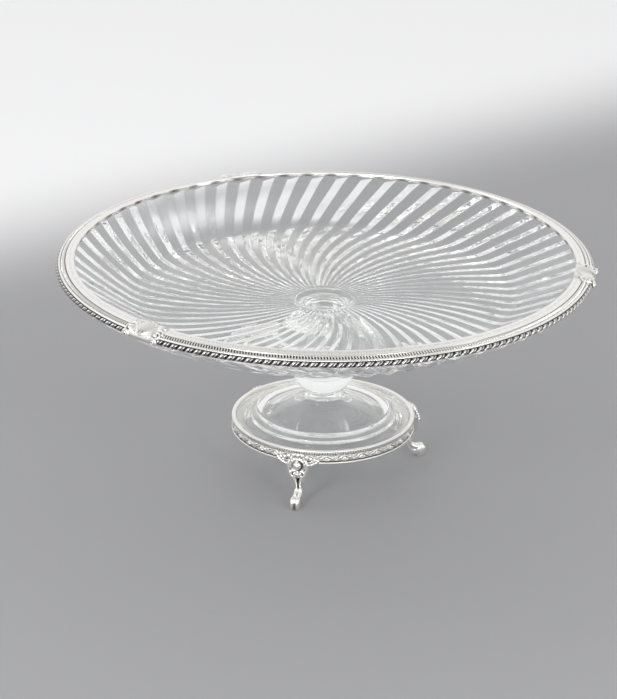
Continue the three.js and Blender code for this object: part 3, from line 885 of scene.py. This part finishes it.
def add_loft(shell, stations, power):
    """A skin over stations of (out, height, depth, width), each a rounded box across the run."""
    sides = 24
    line = smooth_line(stations, 6 * len(stations))
    run = np.gradient(line[:, :2], axis=0)
    run /= np.linalg.norm(run, axis=1)[:, None]
    angle = np.arange(sides) / sides * TURN
    a = np.sign(np.cos(angle)) * np.abs(np.cos(angle)) ** power
    b = np.sign(np.sin(angle)) * np.abs(np.sin(angle)) ** power
    out = line[:, 0][:, None] - run[:, 1][:, None] * a * line[:, 2][:, None] / 2
    height = line[:, 1][:, None] + run[:, 0][:, None] * a * line[:, 2][:, None] / 2
    side = b * line[:, 3][:, None] / 2
    grid = np.stack([out, side, height], -1)
    first = shell.count
    shell.add(grid, grid_faces(len(line), sides, wrap_columns=True))
    last = first + (len(line) - 1) * sides
    shell.faces.append([first + i for i in reversed(range(sides))])
    shell.faces.append([last + i for i in range(sides)])


def leg_blank():
    """All bodies of a leg, still separate: shank, shield head, both sides, boss, ring, toe and two drops."""
    shell = Shell()
    knee = [(53.0, 26.2, 7.0, 9.6), (53.0, 23.0, 6.8, 8.8), (52.9, 19.6, 6.0, 6.4), (52.9, 16.4, 4.2, 4.0)]
    shank = [(52.8, 13.8, 3.2, 3.6), (52.3, 10.8, 2.8, 3.6), (53.0, 7.8, 2.8, 3.6), (55.3, 4.9, 3.2, 3.8)]
    add_loft(shell, knee + shank + [(58.0, 3.2, 4.4, 4.0), (60.4, 3.2, 4.6, 3.8)], 0.75)
    head = [(55.4, 18.0, 2.2, 5.6), (55.4, 21.0, 2.4, 9.0), (55.3, 25.0, 2.5, 10.4), (55.4, 29.0, 2.4, 11.0)]
    add_loft(shell, head + [(55.4, 31.4, 2.2, 9.6), (55.3, 33.0, 1.6, 5.0)], 0.7)
    for side in (-1, 1):
        add_leg_side(shell, side)
    add_blob(shell, LEG_BOSS, (2.4, 2.5, 2.6))
    ring = [(56.5, 4.0 * math.cos(a), 25.6 + 4.1 * math.sin(a)) for a in np.linspace(0, TURN, 40)]
    add_tube(shell, ring, np.full(40, 0.62), 10)
    add_blob(shell, (59.6, 0, 4.4), (3.4, 1.2, 3.4))
    add_blob(shell, (56.5, 0, 31.9), (1.1, 1.0, 1.7))
    add_blob(shell, (56.4, 0, 19.6), (0.9, 0.75, 1.6))
    return shell


def add_leg_side(shell, side):
    """One side of the leg: the rib from curl to toe, the openwork curls, the ear with its leaves, the toe."""
    rib = [(56.6, 4.7, 22.4), (56.7, 4.1, 20.0), (56.2, 2.6, 17.6), (55.1, 1.35, 15.2), (53.9, 1.15, 11.6)]
    rib += [(54.4, 1.1, 8.9), (56.5, 1.15, 7.0), (59.0, 1.3, 6.4), (61.2, 1.45, 6.3), (62.6, 1.5, 5.0)]
    column = [(56.2, 4.6, 29.6), (56.6, 5.3, 27.4), (56.7, 5.5, 24.8), (56.7, 5.1, 22.0), (56.6, 4.6, 20.6)]
    curl = [(56.5, 0.6, 22.2), (56.8, 1.9, 22.6), (56.9, 3.4, 21.9), (56.9, 3.9, 20.3), (56.9, 2.9, 19.1)]
    curl += [(56.9, 1.7, 19.5), (57.0, 1.6, 20.6), (57.0, 2.5, 20.9)]
    arm = [(56.2, 11.2, 28.9), (56.4, 9.0, 27.5), (56.5, 6.9, 26.8), (56.5, 5.5, 25.0)]
    brow = [(56.2, 2.2, 29.4), (56.5, 4.2, 30.4), (56.4, 5.4, 29.0)]
    lines = [(rib, 0.9, 1.25, 1.35), (column, 0.75, 0.8, 0.95), (curl, 0.55, 0.5, 0.65)]
    lines += [(arm, 0.75, 0.6, 0.7), (brow, 0.5, 0.5, 0.6)]
    for line, start, end, middle in lines:
        points = smooth_line([(x, side * y, z) for x, y, z in line], 8 * len(line))
        share = np.linspace(0, 1, len(points))
        girth = start + (end - start) * share + (middle - (start + end) / 2) * np.sin(np.pi * share)
        add_tube(shell, points, girth, 10)
    add_blob(shell, (60.9, side * 1.55, 3.9), (3.4, 1.75, 4.1))
    for out, along, height, width, rise in EAR_LEAVES:
        add_blob(shell, (out, side * along, height), (0.95, width, rise))


def cast_leg():
    """The leg's bodies fused into one casting, its edges softened as cast silver's are, toes filed flat."""
    shell = leg_blank()
    blank = make_object("leg_blank", shell.all_vertices(), shell.faces, bpy.data.materials.new("leg_blank"))
    remesh = blank.modifiers.new("fuse", "REMESH")
    remesh.mode = "VOXEL"
    remesh.voxel_size = LEG_GRAIN * MM
    smooth = blank.modifiers.new("soften", "SMOOTH")
    smooth.factor = 0.5
    smooth.iterations = 2
    evaluated = blank.evaluated_get(bpy.context.evaluated_depsgraph_get())
    mesh = bpy.data.meshes.new_from_object(evaluated)
    vertices = np.empty(len(mesh.vertices) * 3)
    mesh.vertices.foreach_get("co", vertices)
    vertices = vertices.reshape(-1, 3) / MM
    vertices[:, 2] = np.maximum(vertices[:, 2], 0.0)
    faces = [list(p.vertices) for p in mesh.polygons]
    bpy.data.objects.remove(blank)
    bpy.data.meshes.remove(mesh)
    return vertices, faces


def build_legs(material):
    vertices, faces = cast_leg()
    out, along, height = vertices.T
    # Painted shade round the boss and down the slit between the shank's ribs
    from_boss = np.hypot(along - LEG_BOSS[1], height - LEG_BOSS[2])
    moat = np.exp(-(((from_boss - 2.9) / 0.45) ** 2)) * smooth_step(-1.5, 1.5, along) * (out > 55.5)
    slit = np.exp(-((along / 0.55) ** 2)) * smooth_step(9.0, 11.5, height) * smooth_step(18.5, 17.0, height)
    shade_and_grain = 1 - 0.75 * moat - 0.6 * slit * (out > 53.0)
    for k in range(LEG_COUNT):
        azimuth = math.radians(LEG_AZIMUTH) + k * TURN / LEG_COUNT
        turned = turned_about_axis(vertices, azimuth)
        piece = make_object(f"leg_silver_{k + 1}", turned, faces, material, shade_and_grain)
        dress(piece, f"leg_{k + 1}")


# Stage, light and camera. All in metres.

FLOOR_HALF = 12.0
FADE_WAY = (-0.6, 0.8, 0)  # to the left and back
FLOOR_FADE = (0.27, 0.62)  # where the floor turns pale, measured that way from the axis

# Lamps: name, place, height of the point on the axis that it shines at, size and power
LAMPS = [
    ("window", (-1.3, 0.6, 1.6), 0.08, (0.9, 1.1), 2),
    ("overhead", (0.4, 0.2, 1.9), 0.08, (1.2, 1.2), 0.5),
    ("low_window", (-0.8, -1.8, 0.8), 0.08, (0.45, 0.35), 3),
    ("key_left", (-0.9, -1.45, 1.05), 0.08, (0.45, 0.5), 7),
    ("key_right", (0.8, -1.5, 0.95), 0.08, (0.35, 0.4), 4),
    ("low_front", (-0.3, -1.7, 0.26), 0.06, (1.2, 0.4), 4.5),
    ("low_side", (1.6, -0.9, 0.6), 0.08, (0.35, 0.4), 2),
]

CAMERA_PLACE = (0, -1.31444, 0.63116)
CAMERA_RIGHT = (0.99989262, 0.01095036, 0.00973818)
CAMERA_AHEAD = (-0.0062908, 0.92094045, -0.38965255)
FOCAL_LENGTH = 125.43


def build_floor():
    """A pale matt floor, light grey round the object and nearly white behind it on the left."""
    material, tree, shader = new_material("pale_floor")
    place = tree.nodes.new("ShaderNodeTexCoord")
    distance = tree.nodes.new("ShaderNodeVectorMath")
    distance.operation = "DOT_PRODUCT"
    distance.inputs[1].default_value = FADE_WAY
    tree.links.new(place.outputs["Object"], distance.inputs[0])
    mottle = spread(tree, noise(tree, 1.5), -0.03, 0.03)
    both = tree.nodes.new("ShaderNodeMath")
    both.operation = "ADD"
    tree.links.new(distance.outputs["Value"], both.inputs[0])
    tree.links.new(mottle, both.inputs[1])
    ramp = tree.nodes.new("ShaderNodeValToRGB")
    ramp.color_ramp.interpolation = "EASE"
    ramp.color_ramp.elements[0].color = (0.35, 0.35, 0.36, 1)
    ramp.color_ramp.elements[1].color = (0.94, 0.94, 0.95, 1)
    tree.links.new(stretch(tree, both.outputs["Value"], FLOOR_FADE, (0.0, 1.0)), ramp.inputs["Fac"])
    tree.links.new(ramp.outputs["Color"], shader.inputs["Base Color"])
    shader.inputs["Roughness"].default_value = 0.6
    half = FLOOR_HALF / MM
    corners = [(-half, -half, 0), (half, -half, 0), (half, half, 0), (-half, half, 0)]
    floor = make_object("floor", corners, [[0, 1, 2, 3]], material)


def build_world():
    """Soft room light: bright walls all round, dimmer towards the middle of the ceiling."""
    world = bpy.data.worlds.new("room")
    bpy.context.scene.world = world
    world.use_nodes = True
    tree = world.node_tree
    place = tree.nodes.new("ShaderNodeTexCoord")
    parts = tree.nodes.new("ShaderNodeSeparateXYZ")
    tree.links.new(place.outputs["Generated"], parts.inputs[0])
    strength = stretch(tree, parts.outputs["Z"], (0.72, 0.95), (0.93, 0.52))
    background = tree.nodes["Background"]
    background.inputs["Color"].default_value = (1.0, 1.0, 1.0, 1)
    tree.links.new(strength, background.inputs["Strength"])


def stretch(tree, value, span, levels):
    """The value eased from one level to the other over a span."""
    node = tree.nodes.new("ShaderNodeMapRange")
    node.interpolation_type = "SMOOTHSTEP"
    for name, number in zip(("From Min", "From Max", "To Min", "To Max"), (*span, *levels)):
        node.inputs[name].default_value = number
    tree.links.new(value, node.inputs["Value"])
    return node.outputs["Result"]


def add_lamp(name, place, aim, size, power):
    lamp = bpy.data.lights.new(name, "AREA")
    lamp.shape = "RECTANGLE"
    lamp.size, lamp.size_y = size
    lamp.energy = power
    holder = bpy.data.objects.new(name, lamp)
    holder.location = place
    holder.rotation_euler = (Vector((0, 0, aim)) - Vector(place)).to_track_quat("-Z", "Y").to_euler()
    bpy.context.scene.collection.objects.link(holder)


def light_paths():
    """Enough bounces for light that runs a long way inside the ribs."""
    cycles = bpy.context.scene.cycles
    cycles.max_bounces = 40
    cycles.transmission_bounces = 40
    cycles.glossy_bounces = 30
    cycles.transparent_max_bounces = 24


def build_camera():
    camera = bpy.data.cameras.new("photo")
    camera.sensor_width = 36
    camera.lens = FOCAL_LENGTH
    camera.clip_start = 0.05
    camera.clip_end = 50
    holder = bpy.data.objects.new("photo", camera)
    right = Vector(CAMERA_RIGHT)
    ahead = Vector(CAMERA_AHEAD)
    up = right.cross(ahead)
    turn = Matrix((right, up, -ahead)).transposed().to_4x4()
    holder.matrix_world = Matrix.Translation(CAMERA_PLACE) @ turn
    bpy.context.scene.collection.objects.link(holder)
    bpy.context.scene.camera = holder


build_camera()
build_dish(glass_material("dish_glass", 0.32))
build_pedestal(glass_material("pedestal_glass", 0.97))
rim_silver = silver_material("rim_silver", 0.93, 0.14, 0.26, 0.0010)
clasp_silver = silver_material("clasp_silver", 0.95, 0.28, 0.40, 0.0012)
build_rim(rim_silver, clasp_silver)
build_ring(silver_material("ring_silver", 0.97, 0.26, 0.38, 0.0008), satin_material())
build_legs(silver_material("leg_silver", 0.98, 0.20, 0.32, 0.0017))
build_floor()
build_world()
for lamp_values in LAMPS:
    add_lamp(*lamp_values)
light_paths()
bpy.context.scene.view_settings.view_transform = "Standard"
